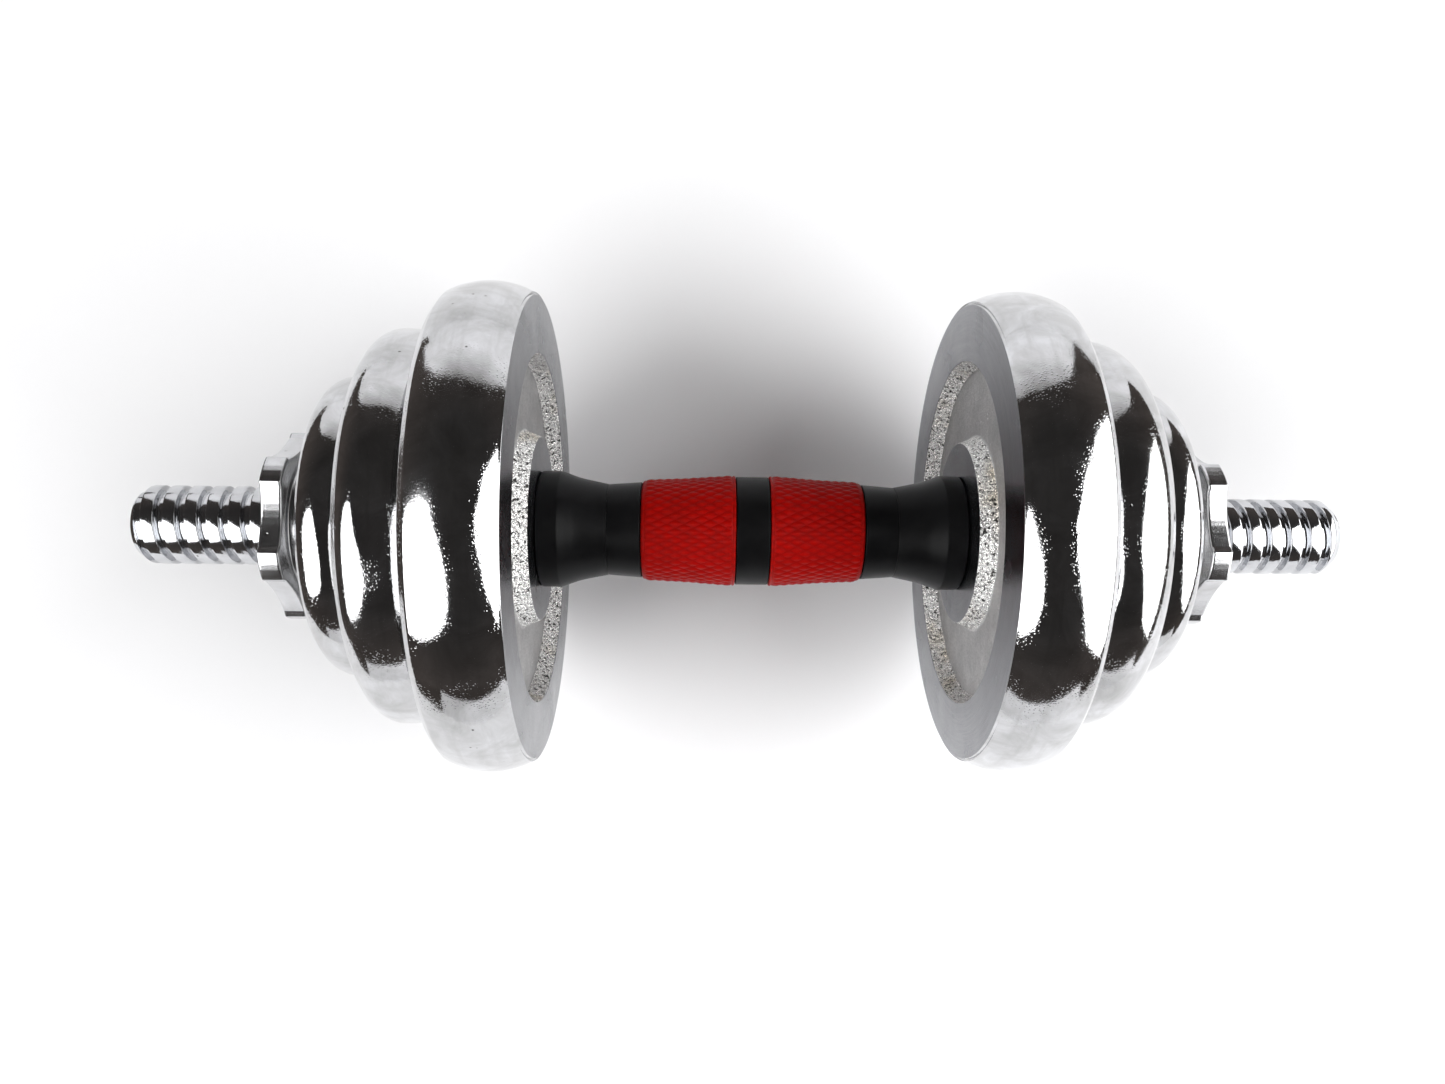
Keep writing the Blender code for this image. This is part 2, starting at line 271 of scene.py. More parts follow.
def crest(along):
    """How much of the thread's depth stands at this share of a pitch.

    A pitch has a broad, slightly domed crest in its middle, steep flanks and a flat groove.
    """
    off = abs(2 * along - 1)
    up = min(max((FLANK_FOOT - off) / (FLANK_FOOT - FLANK_TOP), 0), 1)
    return (1 - CREST_DOME * min(off / FLANK_TOP, 1) ** 2) * up**2 * (3 - 2 * up)


def add_thread_rows(angles, start, end, grow, limit):
    """Rows of points round a thread, sheared along its helix, with z held between start and end.

    angles run from 0 to a full turn, both included, so the last column is the first one, a pitch on.
    limit(radius, inside) reshapes the radius by how far inside the two ends a point is.
    """
    per_pitch = len(THREAD_ROWS)
    root = THREAD_R - THREAD_DEPTH + grow
    rows = []
    for row in range(-per_pitch, per_pitch * (ceil((end - start) / PITCH) + 1) + 1):
        along = THREAD_ROWS[row % per_pitch]
        z = start + PITCH * (row // per_pitch + along + angles / tau)
        inside = np.maximum(np.minimum(z - start, end - z), 0)
        radius = limit(root + THREAD_DEPTH * crest(along) + 0 * z, inside)
        held = np.clip(z, start, end)
        rows.append(np.stack((radius * np.cos(angles), radius * np.sin(angles), held), -1))
    return rows


def ring_row(angles, radius, z):
    return np.stack((radius * np.cos(angles), radius * np.sin(angles), z + 0 * angles), -1)


def strip_faces(rows, columns, row_zones=None, first=0):
    """Quads over rows that don't close on themselves."""
    faces, zones = [], []
    for row in range(rows - 1):
        for column in range(columns - 1):
            here = first + row * columns + column
            faces.append((here, here + 1, here + columns + 1, here + columns))
            zones.append(row_zones[row] if row_zones else 0)
    return faces, zones


# Materials


def new_material(name):
    material = bpy.data.materials.new(name)
    material.use_nodes = True
    return material, material.node_tree, material.node_tree.nodes["Principled BSDF"]


def add_node(tree, kind, inputs=None, **settings):
    """A shader node. Its inputs are values or the sockets that feed them."""
    made = tree.nodes.new("ShaderNode" + kind)
    for key, value in settings.items():
        setattr(made, key, value)
    for key, value in (inputs or {}).items():
        if isinstance(value, bpy.types.NodeSocket):
            tree.links.new(value, made.inputs[key])
        else:
            made.inputs[key].default_value = value
    return made


def coordinates(tree):
    return add_node(tree, "TexCoord").outputs["Object"]


def noise(tree, where, scale, detail=2.0, roughness=0.5, distortion=0.0):
    inputs = {"Vector": where, "Scale": scale, "Detail": detail}
    inputs |= {"Roughness": roughness, "Distortion": distortion}
    return add_node(tree, "TexNoise", inputs).outputs["Fac"]


def remap(tree, value, from_low, from_high, to_low, to_high):
    inputs = {"Value": value, "From Min": from_low, "From Max": from_high}
    inputs |= {"To Min": to_low, "To Max": to_high}
    return add_node(tree, "MapRange", inputs).outputs["Result"]


def math_node(tree, operation, a, b=0.0):
    made = add_node(tree, "Math", {0: a, 1: b}, operation=operation)
    return made.outputs["Value"]


def mix_colours(tree, share, a, b):
    made = add_node(tree, "Mix", {"Factor": share, "A": a, "B": b}, data_type="RGBA")
    return made.outputs["Result"]


def bump(tree, height, distance, normal=None, strength=1.0):
    inputs = {"Height": height, "Distance": distance, "Strength": strength}
    if normal is not None:
        inputs["Normal"] = normal
    return add_node(tree, "Bump", inputs).outputs["Normal"]


def off_axis(tree, where):
    """Distance from the bar's axis."""
    split = add_node(tree, "SeparateXYZ", {"Vector": where})
    squares = [math_node(tree, "POWER", split.outputs[axis], 2.0) for axis in ("Y", "Z")]
    return math_node(tree, "SQRT", math_node(tree, "ADD", *squares))


def dots(tree, where, scale, solid, clear):
    """Scattered round dots: 1 within `solid` of their middles, and 0 beyond `clear`."""
    cells = add_node(tree, "TexVoronoi", {"Vector": where, "Scale": scale, "Randomness": 1.0})
    return remap(tree, cells.outputs["Distance"], solid, clear, 1.0, 0.0)


def wire(tree, shader, **sockets):
    """Sets the shader's sockets, or links them when the value is a socket."""
    for name, value in sockets.items():
        socket = shader.inputs[name.replace("_", " ").title().replace("Ior", "IOR")]
        if isinstance(value, bpy.types.NodeSocket):
            tree.links.new(value, socket)
        else:
            socket.default_value = value


def make_chrome(name, ripple, peel_depth, speck_depth, pale, dull, shine=(0.02, 0.13)):
    """Chrome plate: a mirror with ripples, orange peel, clouds, streaks, specks and a few pits.

    `shine` is the range of its roughness.
    """
    material, tree, shader = new_material(name)
    where = coordinates(tree)
    slow = noise(tree, where, 55.0, 1.0)
    peel = noise(tree, where, 1500.0, 2.0, 0.5)
    dusty = remap(tree, noise(tree, where, 95.0, 3.0, 0.6), 0.42, 0.62, 0.15, 1.0)
    specks = math_node(tree, "MULTIPLY", dots(tree, where, 1400.0, 0.0, 0.38), dusty)
    chosen = remap(tree, noise(tree, where, 120.0), 0.60, 0.64, 0.0, 1.0)
    pits = math_node(tree, "MULTIPLY", dots(tree, where, 210.0, 0.05, 0.11), chosen)
    normal = bump(tree, slow, ripple)
    normal = bump(tree, peel, peel_depth, normal)
    normal = bump(tree, specks, speck_depth, normal)
    normal = bump(tree, pits, -0.00008, normal)
    clouds = noise(tree, where, 75.0, 5.0, 0.62, 0.6)
    squeezed = add_node(tree, "Mapping", {"Vector": where, "Scale": (9.0, 1.0, 1.0)}).outputs["Vector"]
    streaks = noise(tree, squeezed, 34.0, 4.0, 0.6)
    clean = mix_colours(tree, remap(tree, clouds, 0.33, 0.68, 0.0, 1.0), pale, dull)
    clean = mix_colours(tree, remap(tree, streaks, 0.50, 0.72, 0.0, 0.5), clean, dull)
    colour = mix_colours(tree, pits, clean, (0.12, 0.115, 0.11, 1))
    rough = remap(tree, noise(tree, where, 40.0, 4.0, 0.6), 0.35, 0.75, *shine)
    wire(tree, shader, metallic=1.0, base_color=colour, roughness=rough, normal=normal)
    return material


def make_ground_steel(name):
    """A face ground flat after casting: satin, with marks that run round the bar."""
    material, tree, shader = new_material(name)
    where = coordinates(tree)
    radius = off_axis(tree, where)
    around = add_node(tree, "CombineXYZ", {"X": math_node(tree, "MULTIPLY", radius, 30.0)})
    mixed = add_node(tree, "VectorMath", {0: around.outputs["Vector"], 1: where}, operation="ADD")
    marks = noise(tree, mixed.outputs["Vector"], 60.0, 6.0, 0.7)
    cloudy = noise(tree, where, 60.0, 4.0, 0.6)
    bright = remap(tree, marks, 0.3, 0.7, 0.0, 1.0)
    colour = mix_colours(tree, bright, (0.175, 0.18, 0.193, 1), (0.26, 0.265, 0.283, 1))
    rough = remap(tree, cloudy, 0.3, 0.75, 0.19, 0.31)
    normal = bump(tree, marks, 0.000012)
    wire(tree, shader, metallic=1.0, base_color=colour, roughness=rough, normal=normal)
    return material


def make_cast_chrome(name):
    """Chrome over a rough casting: small lumps that sparkle, browned in places, with painted shade near black
    in the hollows between the lumps.
    """
    material, tree, shader = new_material(name)
    where = coordinates(tree)
    coarse = noise(tree, where, 880.0, 2.0, 0.6, 0.8)
    fine = noise(tree, where, 1600.0, 2.0, 0.6)
    normal = bump(tree, coarse, 0.0011)
    normal = bump(tree, fine, 0.0004, normal)
    stain = remap(tree, noise(tree, where, 45.0, 3.0, 0.6), 0.55, 0.72, 0.0, 0.6)
    plated = mix_colours(tree, stain, (1.0, 0.995, 0.98, 1), (0.66, 0.56, 0.38, 1))
    # Painted shade: where the bump is low, in the hollows, the colour is painted near black
    lumps, grains = remap(tree, coarse, 0.38, 0.45, 0.0, 1.0), remap(tree, fine, 0.34, 0.48, 0.3, 1.0)
    raised = math_node(tree, "MULTIPLY", lumps, grains)
    colour = mix_colours(tree, raised, (0.045, 0.043, 0.041, 1), plated)
    rough = remap(tree, coarse, 0.3, 0.7, 0.34, 0.20)
    wire(tree, shader, metallic=1.0, base_color=colour, roughness=rough, normal=normal)
    return material


def make_cast_floor(name):
    """The blasted floor of a recess: satin, finely grained, with a few bright specks."""
    material, tree, shader = new_material(name)
    where = coordinates(tree)
    grain = noise(tree, where, 1500.0, 3.0, 0.6)
    chosen = remap(tree, noise(tree, where, 170.0), 0.56, 0.60, 0.0, 1.0)
    bright = math_node(tree, "MULTIPLY", dots(tree, where, 300.0, 0.04, 0.14), chosen)
    cloudy = remap(tree, noise(tree, where, 80.0, 5.0, 0.65), 0.3, 0.7, 0.0, 1.0)
    colour = mix_colours(tree, cloudy, (0.60, 0.595, 0.59, 1), (0.45, 0.45, 0.45, 1))
    colour = mix_colours(tree, remap(tree, grain, 0.35, 0.65, 0.0, 0.35), colour, (0.16, 0.16, 0.16, 1))
    colour = mix_colours(tree, bright, colour, (1.0, 1.0, 1.0, 1))
    rough = remap(tree, bright, 0.0, 1.0, 0.46, 0.10)
    normal = bump(tree, grain, 0.00022)
    normal = bump(tree, bright, 0.0004, normal)
    wire(tree, shader, metallic=1.0, base_color=colour, roughness=rough, normal=normal)
    return material


def make_black_plastic(name):
    """Satin black moulding with a fine grain and faint turning lines."""
    material, tree, shader = new_material(name)
    where = coordinates(tree)
    split = add_node(tree, "SeparateXYZ", {"Vector": where})
    lines = add_node(tree, "CombineXYZ", {"X": split.outputs["X"]}).outputs["Vector"]
    turned = noise(tree, lines, 900.0, 4.0, 0.7)
    grain = noise(tree, where, 2600.0, 2.0)
    smudge = noise(tree, where, 70.0, 4.0, 0.6)
    greyed = remap(tree, smudge, 0.35, 0.75, 0.0, 1.0)
    colour = mix_colours(tree, greyed, (0.0042, 0.0042, 0.0046, 1), (0.0085, 0.0085, 0.009, 1))
    rough = remap(tree, smudge, 0.3, 0.75, 0.30, 0.46)
    normal = bump(tree, turned, 0.00002)
    normal = bump(tree, grain, 0.000012, normal)
    wire(tree, shader, base_color=colour, roughness=rough, normal=normal, specular_ior_level=0.09)
    return material


def scale_lens(tree, where):
    """How near a point is to the middle of its diamond scale: 1 there, 0 in the grooves."""
    split = add_node(tree, "SeparateXYZ", {"Vector": where})
    from_inner = math_node(tree, "SUBTRACT", math_node(tree, "ABSOLUTE", split.outputs["X"]), BAND_HALF + GAP)
    u = math_node(tree, "DIVIDE", from_inner, SCALE_LENGTH)
    turned = math_node(tree, "ARCTAN2", split.outputs["Y"], split.outputs["Z"])
    v = math_node(tree, "MULTIPLY", turned, SCALE_ROWS / tau)
    lens = 1.0
    for operation in ("SUBTRACT", "ADD"):
        across = math_node(tree, operation, u, v)
        off = math_node(tree, "SUBTRACT", across, math_node(tree, "ROUND", across))
        doubled = math_node(tree, "MULTIPLY", math_node(tree, "ABSOLUTE", off), 2.0)
        lens = math_node(tree, "MULTIPLY", math_node(tree, "SUBTRACT", 1.0, doubled), lens)
    return lens


def make_red_rubber(name):
    """Red rubber with painted shade and dirt in the grooves between its scales, a painted highlight in the
    middle of each scale, and a few specks of dirt.
    """
    material, tree, shader = new_material(name)
    where = coordinates(tree)
    cloudy = noise(tree, where, 160.0, 4.0, 0.6)
    grain = noise(tree, where, 3200.0, 2.0)
    few = remap(tree, noise(tree, where, 150.0), 0.64, 0.67, 0.0, 1.0)
    dirt = math_node(tree, "MULTIPLY", dots(tree, where, 240.0, 0.02, 0.05), few)
    worn = remap(tree, cloudy, 0.35, 0.7, 0.0, 1.0)
    clean = mix_colours(tree, worn, (0.38, 0.0022, 0.0012, 1), (0.30, 0.003, 0.0018, 1))
    lens = scale_lens(tree, where)
    # Painted shade, together with the dirt that sits there: the grooves between the scales are painted a
    # darker red
    colour = mix_colours(tree, remap(tree, lens, 0.0, 0.30, 0.32, 0.0), clean, (0.13, 0.0015, 0.0010, 1))
    # Painted highlight: the middle of each scale is painted a brighter red
    colour = mix_colours(tree, remap(tree, lens, 0.50, 0.85, 0.0, 0.30), colour, (0.50, 0.008, 0.002, 1))
    colour = mix_colours(tree, dirt, colour, (0.07, 0.03, 0.03, 1))
    rough = remap(tree, cloudy, 0.3, 0.75, 0.36, 0.50)
    normal = bump(tree, grain, 0.00003)
    wire(tree, shader, base_color=colour, roughness=rough, normal=normal, specular_ior_level=0.06)
    return material


def make_black_rubber(name):
    """Matt black rubber, bloomed grey in places."""
    material, tree, shader = new_material(name)
    where = coordinates(tree)
    grain = noise(tree, where, 1800.0, 3.0, 0.6)
    bloom = remap(tree, noise(tree, where, 220.0, 3.0), 0.3, 0.7, 0.0, 1.0)
    colour = mix_colours(tree, bloom, (0.012, 0.012, 0.012, 1), (0.028, 0.027, 0.026, 1))
    rough = remap(tree, grain, 0.3, 0.7, 0.6, 0.85)
    wire(tree, shader, base_color=colour, roughness=rough, normal=bump(tree, grain, 0.00005))
    return material


def make_bare_steel(name):
    """Steel as it comes from the lathe, with rings round the bar."""
    material, tree, shader = new_material(name)
    where = coordinates(tree)
    radius = off_axis(tree, where)
    rings = add_node(tree, "CombineXYZ", {"X": radius}).outputs["Vector"]
    turned = noise(tree, rings, 2400.0, 3.0, 0.6)
    cloudy = noise(tree, where, 150.0, 4.0, 0.6)
    colour = mix_colours(tree, cloudy, (0.36, 0.36, 0.37, 1), (0.50, 0.50, 0.51, 1))
    rough = remap(tree, turned, 0.3, 0.7, 0.25, 0.42)
    normal = bump(tree, turned, 0.00002)
    wire(tree, shader, metallic=1.0, base_color=colour, roughness=rough, normal=normal)
    return material


CHROME_RIM = make_chrome(
    "chrome_rim", 0.00016, 0.000012, 0.00003, (0.68, 0.685, 0.70, 1), (0.42, 0.42, 0.42, 1)
)
CHROME_BAR = make_chrome(
    "chrome_bar", 0.00002, 0.000008, 0.000006, (0.66, 0.67, 0.69, 1), (0.50, 0.505, 0.52, 1), (0.07, 0.15)
)
CHROME_NUT = make_chrome(
    "chrome_nut", 0.00004, 0.00001, 0.000012, (0.66, 0.665, 0.68, 1), (0.46, 0.46, 0.465, 1), (0.15, 0.24)
)
GROUND_STEEL = make_ground_steel("ground_steel")
CAST_CHROME = make_cast_chrome("cast_chrome")
CAST_FLOOR = make_cast_floor("cast_floor")
BLACK_PLASTIC = make_black_plastic("black_plastic_satin")
RED_RUBBER = make_red_rubber("red_rubber_scaled")
BLACK_RUBBER = make_black_rubber("black_rubber_matt")
BARE_STEEL = make_bare_steel("turned_steel")

# Pieces


def show(piece, body, slot, *nodes):
    """The piece stands for those CAD nodes and moves with the body."""
    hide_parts(*nodes)
    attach(piece, body)


def smooth_through(knots, steps):
    """Points on a Catmull-Rom curve through the knots."""
    knots = np.array(knots, float)
    padded = np.vstack((2 * knots[0] - knots[1], knots, 2 * knots[-1] - knots[-2]))
    points = []
    for i in range(1, len(padded) - 2):
        a, b, c, d = padded[i - 1 : i + 3]
        for step in range(steps):
            t = step / steps
            square, cube = 2 * a - 5 * b + 4 * c - d, 3 * b - a - 3 * c + d
            points.append(0.5 * (2 * b + (c - a) * t + square * t**2 + cube * t**3))
    return points + [knots[-1]]


def build_bar():
    """The bar: the right half, and the same half turned about, so that both threads are right-handed."""
    columns = 97
    angles = np.linspace(0, tau, columns)
    root = THREAD_R - THREAD_DEPTH
    relief = THREAD_START - 0.0010
    rows = [
        ring_row(angles, radius, z)
        for radius, z in (
            (SHAFT_R, 0.0),
            (SHAFT_R, 0.045),
            (SHAFT_R, relief - SHAFT_R + root - 0.0004),
            (SHAFT_R, relief - SHAFT_R + root),
            (root, relief),
        )
    ]
    rows += add_thread_rows(
        angles,
        THREAD_START,
        BAR_HALF,
        0.0,
        lambda radius, inside: np.minimum(radius, root - 0.0003 + TIP_SLOPE * inside),
    )
    rows += [ring_row(angles, radius, BAR_HALF) for radius in (root - 0.0010, 0.004, 0.0000004)]
    right = np.concatenate(rows)
    left = right * (-1, 1, -1)
    faces, _ = strip_faces(len(rows), columns)
    other, _ = strip_faces(len(rows), columns, first=len(right))
    bar = piece_from("bar", np.concatenate((right, left)), faces + other, [CHROME_BAR], None, "right")
    show(bar, "bar", "chrome", "threaded_bar")


def build_stop(side):
    """The steel collar that stops the first plate."""
    corners = [
        (STOP_R, FACE - GAP, 0.0004, 0),
        (STOP_R, STOP_FROM, 0.0003, 0),
        (SHAFT_R + GAP, STOP_FROM, 0.0003, 0),
        (SHAFT_R + GAP, FACE - GAP, 0.0004, 0),
    ]
    collar = lathe(f"collar_{side}", corners, [BARE_STEEL], side, 96, 3)
    show(collar, "bar", "bare_steel", f"stop_collar_{side}")


def build_grip_core():
    """The black moulding: two necks and the band between the sleeves."""
    right = [
        (NECK_R, CORE_END, 0.00008, 0),
        (SHOULDER_R, SHOULDER, 0.0003, 0),
        (SEAT_R, SHOULDER, 0, 0),
        (SEAT_R, BAND_HALF, 0, 0),
        (BAND_R, BAND_HALF, 0.0003, 0),
    ]
    left = [(r, -z, fillet, zone) for r, z, fillet, zone in reversed(right)]
    bore = [(SHAFT_R + GAP, -CORE_END, 0.0003, 0), (SHAFT_R + GAP, CORE_END, 0.0003, 0)]
    core = lathe("grip_middle", right + left + bore, [BLACK_PLASTIC], "right", 160, 4)
    show(core, "bar", "black_plastic", "grip_core")


def scales(along, angle, inner, outer):
    """Height of the diamond scales, from a margin at either end of the sleeve."""
    u = (along - inner) / SCALE_LENGTH
    v = angle / tau * SCALE_ROWS
    across, down = u - v, u + v
    a = np.abs(across - np.round(across)) * 2
    b = np.abs(down - np.round(down)) * 2
    lens = np.clip((1 - a) * (1 - b), 0, 1)
    fade = np.clip(np.minimum(along - inner - SCALE_MARGIN, outer - SCALE_MARGIN - along) / 0.0004, 0, 1)
    return SCALE_HIGH * lens**0.45 * fade


def build_grip_sleeve(side):
    """A rubber sleeve whose outside is a fine grid, raised into diamond scales."""
    outer, inner = SHOULDER - GAP, BAND_HALF + GAP
    outer_soft, inner_soft = 0.0009, 0.0005
    columns, steps = 720, 150
    z = np.linspace(outer - outer_soft, inner + inner_soft, steps)
    knots = np.array([(inner, SLEEVE_R_INNER), (0.022, SLEEVE_R_MIDDLE), (outer, SLEEVE_R_OUTER)])
    radius = np.interp(z, knots[:, 0], knots[:, 1]) - 0.5 * SCALE_HIGH
    angles = np.arange(columns) / columns * tau
    high = scales(z[:, None], angles[None, :], inner, outer)
    lip = 0.55 * SCALE_HIGH * np.clip((inner + SCALE_MARGIN * 0.8 - z) / 0.0003, 0, 1)
    rows = []
    for step in range(steps):
        r = radius[step] + high[step] + lip[step]
        rows.append(np.stack((r * np.cos(angles), r * np.sin(angles), z[step] + 0 * angles), -1))
    turn = np.linspace(0, pi / 2, 6)[1:]
    for t in turn:
        r = radius[-1] + lip[-1] - inner_soft * (1 - cos(t))
        rows.append(ring_row(angles, r, z[-1] - inner_soft * sin(t)))
    rows += [
        ring_row(angles, SEAT_R + GAP + 0.0003, inner),
        ring_row(angles, SEAT_R + GAP, inner),
        ring_row(angles, SEAT_R + GAP, outer),
        ring_row(angles, SEAT_R + GAP + 0.0003, outer),
    ]
    for t in turn[::-1]:
        rows.append(ring_row(angles, radius[0] - outer_soft * (1 - cos(t)), z[0] + outer_soft * sin(t)))
    faces, _ = grid_faces(len(rows), columns)
    sleeve = piece_from(f"sleeve_{side}", np.concatenate(rows), faces, [RED_RUBBER], None, side, 80.0)
    show(sleeve, "bar", "red_rubber", f"grip_sleeve_{side}")


def build_flare_cover(side):
    """The black cover that widens towards the plates."""
    inner = CORE_END + SEAM
    flare = smooth_through(
        [(FLARE_R, FLARE_FROM), (0.0177, 0.0586), (0.0166, 0.0550), (NECK_R, inner)], 8
    )
    corners = [(FLARE_R, FACE - GAP, 0.0006, 0)]
    corners += [(r, z, 0, 0) for r, z in flare[:-1]]
    corners += [
        (NECK_R, inner, 0.00008, 0),
        (SHAFT_R + GAP, inner, 0.0003, 0),
        (SHAFT_R + GAP, STOP_FROM - GAP, 0, 0),
        (STOP_R + GAP, STOP_FROM - GAP, 0, 0),
        (STOP_R + GAP, FACE - GAP, 0.0003, 0),
    ]
    cover = lathe(f"cover_{side}", corners, [BLACK_PLASTIC], side, 160, 4)
    show(cover, "bar", "black_plastic", f"flare_cover_{side}")


# How much flatter than its arc a rim's crown is, for the plates where it shows
RIM_FLAT = {("mid_plate", "left"): 0.0005}
# How far a casting strays from true, on its rim and as small and broad lumps in its recesses
RIM_UNEVEN = 0.00004
SMALL_LUMPS = 0.00004
BROAD_LUMPS = 0.00005


def build_plate(kind, side, seed):
    """A cast plate: chromed rim, ground faces, and a rough recess and dish."""
    face, thick, rim, curve, crown, recess, hub, edge, dish = PLATES[kind].values()
    mirror, ground, rough, blasted = range(4)
    top = face + thick
    centre = rim - curve
    outer_r = centre + sqrt(curve**2 - (thick - edge - crown) ** 2)
    inner_r = centre + sqrt(curve**2 - crown**2)
    highest = atan2(thick - edge - crown, outer_r - centre)
    lowest = atan2(-crown, inner_r - centre)
    corners = [(outer_r, top - edge, 0, mirror)]
    flat = RIM_FLAT.get((kind, side), 0)
    for angle in np.linspace(highest, lowest, 42)[1:-1]:
        off = sin(angle)
        less = flat * (cos(pi * off / 0.65) - 2.0 * off) * max(1 - (off / 0.95) ** 2, 0)
        corners.append((centre + curve * cos(angle) - less, face + crown + curve * off, 0, mirror))
    floor = face + RECESS_DEPTH
    dish_in, dish_out = dish
    corners += [
        (inner_r - 0.0001, face + 0.0013, 0.0011, mirror),
        (inner_r - 0.0006, face, 0.0002, ground),
        (recess, face, 0.0005, rough),
        (recess - RECESS_DRAFT, floor, 0.0016, blasted),
        (hub + RECESS_DRAFT, floor, 0.0012, rough),
        (hub, face, 0.0005, ground),
        (BORE_R, face, 0.0004, ground),
        (BORE_R, top, 0.0004, ground),
        (dish_in, top, 0.0010, rough),
        (dish_in + DISH_DEPTH, top - DISH_DEPTH, 0.0012, blasted),
        (dish_out - DISH_DEPTH, top - DISH_DEPTH, 0.0012, rough),
        (dish_out, top, 0.0010, mirror),
        (outer_r - 1.2 * edge, top, 0.0012, mirror),
    ]
    uneven = waves(seed, 14, 18.0, 60.0)
    small = waves(seed + 100, 30, 130.0, 420.0)
    broad = waves(seed + 200, 12, 40.0, 110.0)

    def wobble(radius, z, angle):
        """A casting isn't quite true: slow waves on its rim, and small lumps in the recess and the dish."""
        x, y = radius * np.cos(angle), radius * np.sin(angle)
        on_rim = np.clip((radius - inner_r + 0.002) / 0.004, 0, 1)
        below = np.clip(np.minimum(z - face, top - z) / 0.0012, 0, 1)
        sunk = below * (radius < inner_r - 0.002) * (radius > hub - 0.0005)
        lumps = SMALL_LUMPS * small(x, y, z) + BROAD_LUMPS * broad(x, y, z)
        return -RIM_UNEVEN * (1 + uneven(x, y, z)) * on_rim + lumps * sunk, lumps * sunk

    materials = [CHROME_RIM, GROUND_STEEL, CAST_CHROME, CAST_FLOOR]
    plate = lathe(f"{kind}_shown_{side}", corners, materials, side, 432, 5, wobble, (rough, blasted))
    show(plate, f"{kind}_{side}", "chromed_casting", f"{kind}_{side}")


def star_corners(turn):
    """The star's outline: flat lobes with short flanks, and a hollow valley between each two."""
    corners = []
    half_pitch = pi / LOBES
    for lobe in range(LOBES):
        middle = turn + tau * lobe / LOBES
        marks = [(-LOBE_LAND, LOBE_R, LOBE_FILLET)]
        for share in (-0.6, -0.2, 0.2, 0.6):
            marks.append((share * LOBE_LAND, LOBE_R * (1.003 - 0.003 * share**2), 0))
        marks += [(LOBE_LAND, LOBE_R, LOBE_FILLET), (LOBE_FOOT, FOOT_R, LOBE_FILLET)]
        for share in (-0.75, -0.5, -0.25, 0, 0.25, 0.5, 0.75):
            radius = VALLEY_R + (FOOT_R - VALLEY_R) * share**2
            marks.append((half_pitch + (half_pitch - LOBE_FOOT) * share, radius, 0))
        marks.append((tau / LOBES - LOBE_FOOT, FOOT_R, LOBE_FILLET))
        for angle, radius, fillet in marks:
            corners.append((radius * cos(middle + angle), radius * sin(middle + angle), fillet, 0))
    return corners


def build_nut(side):
    """The star nut, as rings of points from its mouth over the star and boss and back through the bore."""
    turn = pi + NUT_TURN[side] if side == "right" else -NUT_TURN[side]
    star, _ = rounded(star_corners(turn), 4, 0.0004)
    order = np.argsort(np.arctan2(star[:, 1], star[:, 0]))
    star = star[order]
    star = np.vstack((star, star[:1]))
    angles = np.unwrap(np.arctan2(star[:, 1], star[:, 0]))
    tangent = np.roll(star[:-1], -1, 0) - np.roll(star[:-1], 1, 0)
    normal = np.stack((-tangent[:, 1], tangent[:, 0]), -1)
    normal /= np.linalg.norm(normal, axis=1)[:, None]
    normal = np.vstack((normal, normal[:1]))

    def star_row(inset, z):
        return np.column_stack((star + normal * inset, z + 0 * angles))

    def circle(radius, z):
        return ring_row(angles, radius, z)

    soft = 0.0007
    quarter = np.linspace(0, pi / 2, 5)
    rows = [circle(MOUTH_R, STAR_TO), circle(MOUTH_R + 0.0004, STAR_TO)]
    rows += [circle(0.5 * (MOUTH_R + VALLEY_R), STAR_TO), star_row(soft + 0.0004, STAR_TO)]
    rows += [star_row(soft * (1 - sin(t)), STAR_TO - soft * (1 - cos(t))) for t in quarter]
    rows += [star_row(0, STAR_TO - soft - 0.0003), star_row(0, STAR_FROM + soft + 0.0003)]
    rows += [star_row(soft * (1 - cos(t)), STAR_FROM + soft * (1 - sin(t))) for t in quarter]
    rows += [star_row(soft + 0.0004, STAR_FROM), circle(BOSS_R + 0.0011, STAR_FROM)]
    rows += [circle(BOSS_R + 0.0008 * (1 - sin(t)), STAR_FROM - 0.0008 * (1 - cos(t))) for t in quarter]
    rows += [circle(BOSS_R, STAR_FROM - 0.0012), circle(BOSS_R, NUT_FACE + soft + 0.0003)]
    rows += [circle(BOSS_R - soft * (1 - cos(t)), NUT_FACE + soft * (1 - sin(t))) for t in quarter]
    groove = NUT_FACE + RING_DEEP
    rows += [
        circle(RING_R[1] + GAP, NUT_FACE),
        circle(RING_R[1] + GAP, groove),
        circle(RING_R[0] - GAP, groove),
        circle(RING_R[0] - GAP, NUT_FACE),
    ]
    rows += add_thread_rows(
        angles,
        NUT_FACE,
        STAR_TO,
        THREAD_PLAY,
        lambda radius, inside: np.maximum(radius, MOUTH_R - inside),
    )
    faces, _ = strip_faces(len(rows), len(angles))
    nut = piece_from(f"nut_{side}", np.concatenate(rows), faces, [CHROME_NUT], None, side, 42.0)
    show(nut, f"star_nut_{side}", "chrome", f"star_nut_{side}")


def build_nut_ring(side):
    """The rubber ring in the nut's inner face."""
    inner, outer = RING_R
    front, back = NUT_FACE - RING_PROUD, NUT_FACE + RING_DEEP - GAP
    corners = [
        (outer, back, 0.0002, 0),
        (outer, front, 0.0005, 0),
        (inner, front, 0.0005, 0),
        (inner, back, 0.0002, 0),
    ]
    ring = lathe(f"ring_{side}", corners, [BLACK_RUBBER], side, 96, 4)
    show(ring, f"star_nut_{side}", "black_rubber", f"nut_ring_{side}")


